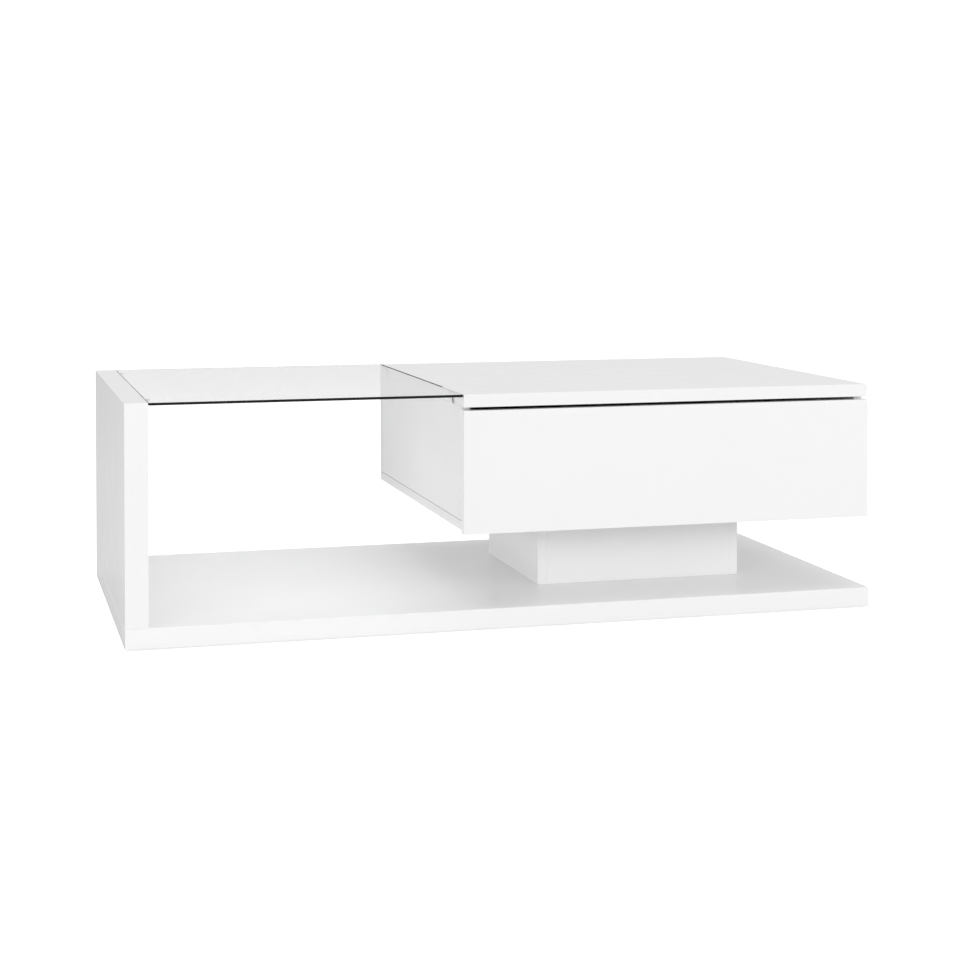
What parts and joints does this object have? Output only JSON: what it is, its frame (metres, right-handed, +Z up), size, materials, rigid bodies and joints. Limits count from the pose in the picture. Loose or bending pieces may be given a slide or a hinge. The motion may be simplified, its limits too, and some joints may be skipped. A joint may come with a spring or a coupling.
{
  "type": "coffee table",
  "caption": "Low rectangular coffee table with a base board, an end panel, a glass plate over an open bay and a raised box with a wide handleless drawer on a pedestal.",
  "frame": {"origin": "on the floor under the middle of the table, at the centre of the footprint", "axes": "+X along the length towards the drawer box, +Y towards the back (the drawer opens towards -Y), +Z up"},
  "size_m": [1.2, 0.6, 0.366],
  "materials": {
    "gloss_board": "white high-gloss lacquer on board",
    "drawer_board": "white satin melamine on board",
    "drawer_bottom": "white-faced hardboard",
    "glass": "clear tempered glass with ground edges",
    "runner_steel": "zinc plated",
    "cage_steel": "plain sheet",
    "ball_steel": "polished balls",
    "screw_steel": "zinc plated",
    "cam_metal": "nickel-plated die casting",
    "support_metal": "nickel plated",
    "dowel_wood": "raw beech",
    "glide_plastic": "hard plastic",
    "lever_plastic": "black moulded plastic",
    "seal_rubber": "black extruded rubber",
    "clear_cushion": "clear soft cushion"
  },
  "bodies": {
    "table": {"base_board": "gloss_board", "base_screws": "screw_steel", "box_back": "gloss_board", "box_bottom": "gloss_board", "box_side_left": "gloss_board", "box_side_right": "gloss_board", "cam_bolts": "screw_steel", "cam_locks": "cam_metal", "carcass_dowels": "dowel_wood", "end_panel": "gloss_board", "floor_glides": "glide_plastic", "glass_cushions": "clear_cushion", "glass_plate": "glass", "glass_seal": "seal_rubber", "glass_support_screws": "screw_steel", "glass_supports": "support_metal", "pedestal_back": "gloss_board", "pedestal_dowels": "dowel_wood", "pedestal_front": "gloss_board", "pedestal_left": "gloss_board", "pedestal_right": "gloss_board", "pedestal_screws": "screw_steel", "runner_cabinet_member_left": "runner_steel", "runner_cabinet_member_right": "runner_steel", "runner_cabinet_screws": "screw_steel", "side_screws": "screw_steel", "top_board": "gloss_board"},
    "drawer": {"drawer_front": "gloss_board", "drawer_side_left": "drawer_board", "drawer_side_right": "drawer_board", "drawer_box_front": "drawer_board", "drawer_back": "drawer_board", "drawer_bottom": "drawer_bottom", "drawer_box_screws": "screw_steel", "drawer_front_screws": "screw_steel", "drawer_stops": "clear_cushion", "runner_drawer_member_left": "runner_steel", "runner_drawer_member_right": "runner_steel", "runner_drawer_screws": "screw_steel"},
    "runner_middle_left": {"runner_middle_member_left": "runner_steel"},
    "outer_cage_left": {"outer_ball_cage_left": "cage_steel", "outer_balls_left": "ball_steel"},
    "inner_cage_left": {"inner_ball_cage_left": "cage_steel", "inner_balls_left": "ball_steel"},
    "release_lever_left": {"release_lever_left": "lever_plastic"},
    "runner_middle_right": {"runner_middle_member_right": "runner_steel"},
    "outer_cage_right": {"outer_ball_cage_right": "cage_steel", "outer_balls_right": "ball_steel"},
    "inner_cage_right": {"inner_ball_cage_right": "cage_steel", "inner_balls_right": "ball_steel"},
    "release_lever_right": {"release_lever_right": "lever_plastic"}
  },
  "joints": [
    {"name": "drawer_slide", "type": "slide", "parent": "table", "child": "drawer", "axis": [0, -1, 0], "range_m": [0, 0.45]},
    {"name": "runner_middle_left_slide", "type": "slide", "parent": "table", "child": "runner_middle_left", "axis": [0, -1, 0], "range_m": [0, 0.225]},
    {"name": "outer_cage_left_slide", "type": "slide", "parent": "table", "child": "outer_cage_left", "axis": [0, -1, 0], "range_m": [0, 0.1125]},
    {"name": "inner_cage_left_slide", "type": "slide", "parent": "table", "child": "inner_cage_left", "axis": [0, -1, 0], "range_m": [0, 0.3375]},
    {"name": "runner_middle_right_slide", "type": "slide", "parent": "table", "child": "runner_middle_right", "axis": [0, -1, 0], "range_m": [0, 0.225]},
    {"name": "outer_cage_right_slide", "type": "slide", "parent": "table", "child": "outer_cage_right", "axis": [0, -1, 0], "range_m": [0, 0.1125]},
    {"name": "inner_cage_right_slide", "type": "slide", "parent": "table", "child": "inner_cage_right", "axis": [0, -1, 0], "range_m": [0, 0.3375]},
    {"name": "release_lever_left_pivot", "type": "hinge", "parent": "drawer", "child": "release_lever_left", "pos_m": [-0.0598, -0.17, 0.226], "axis": [1, 0, 0], "range_deg": [0, 8], "stiffness_Nm_per_rad": 0.02},
    {"name": "release_lever_right_pivot", "type": "hinge", "parent": "drawer", "child": "release_lever_right", "pos_m": [0.5698, -0.17, 0.226], "axis": [1, 0, 0], "range_deg": [-8, 0], "stiffness_Nm_per_rad": 0.02}
  ],
  "couplings": [
    {"joint": "runner_middle_left_slide", "follows": "drawer_slide", "ratio": 0.5},
    {"joint": "outer_cage_left_slide", "follows": "drawer_slide", "ratio": 0.25},
    {"joint": "inner_cage_left_slide", "follows": "drawer_slide", "ratio": 0.75},
    {"joint": "runner_middle_right_slide", "follows": "drawer_slide", "ratio": 0.5},
    {"joint": "outer_cage_right_slide", "follows": "drawer_slide", "ratio": 0.25},
    {"joint": "inner_cage_right_slide", "follows": "drawer_slide", "ratio": 0.75}
  ]
}
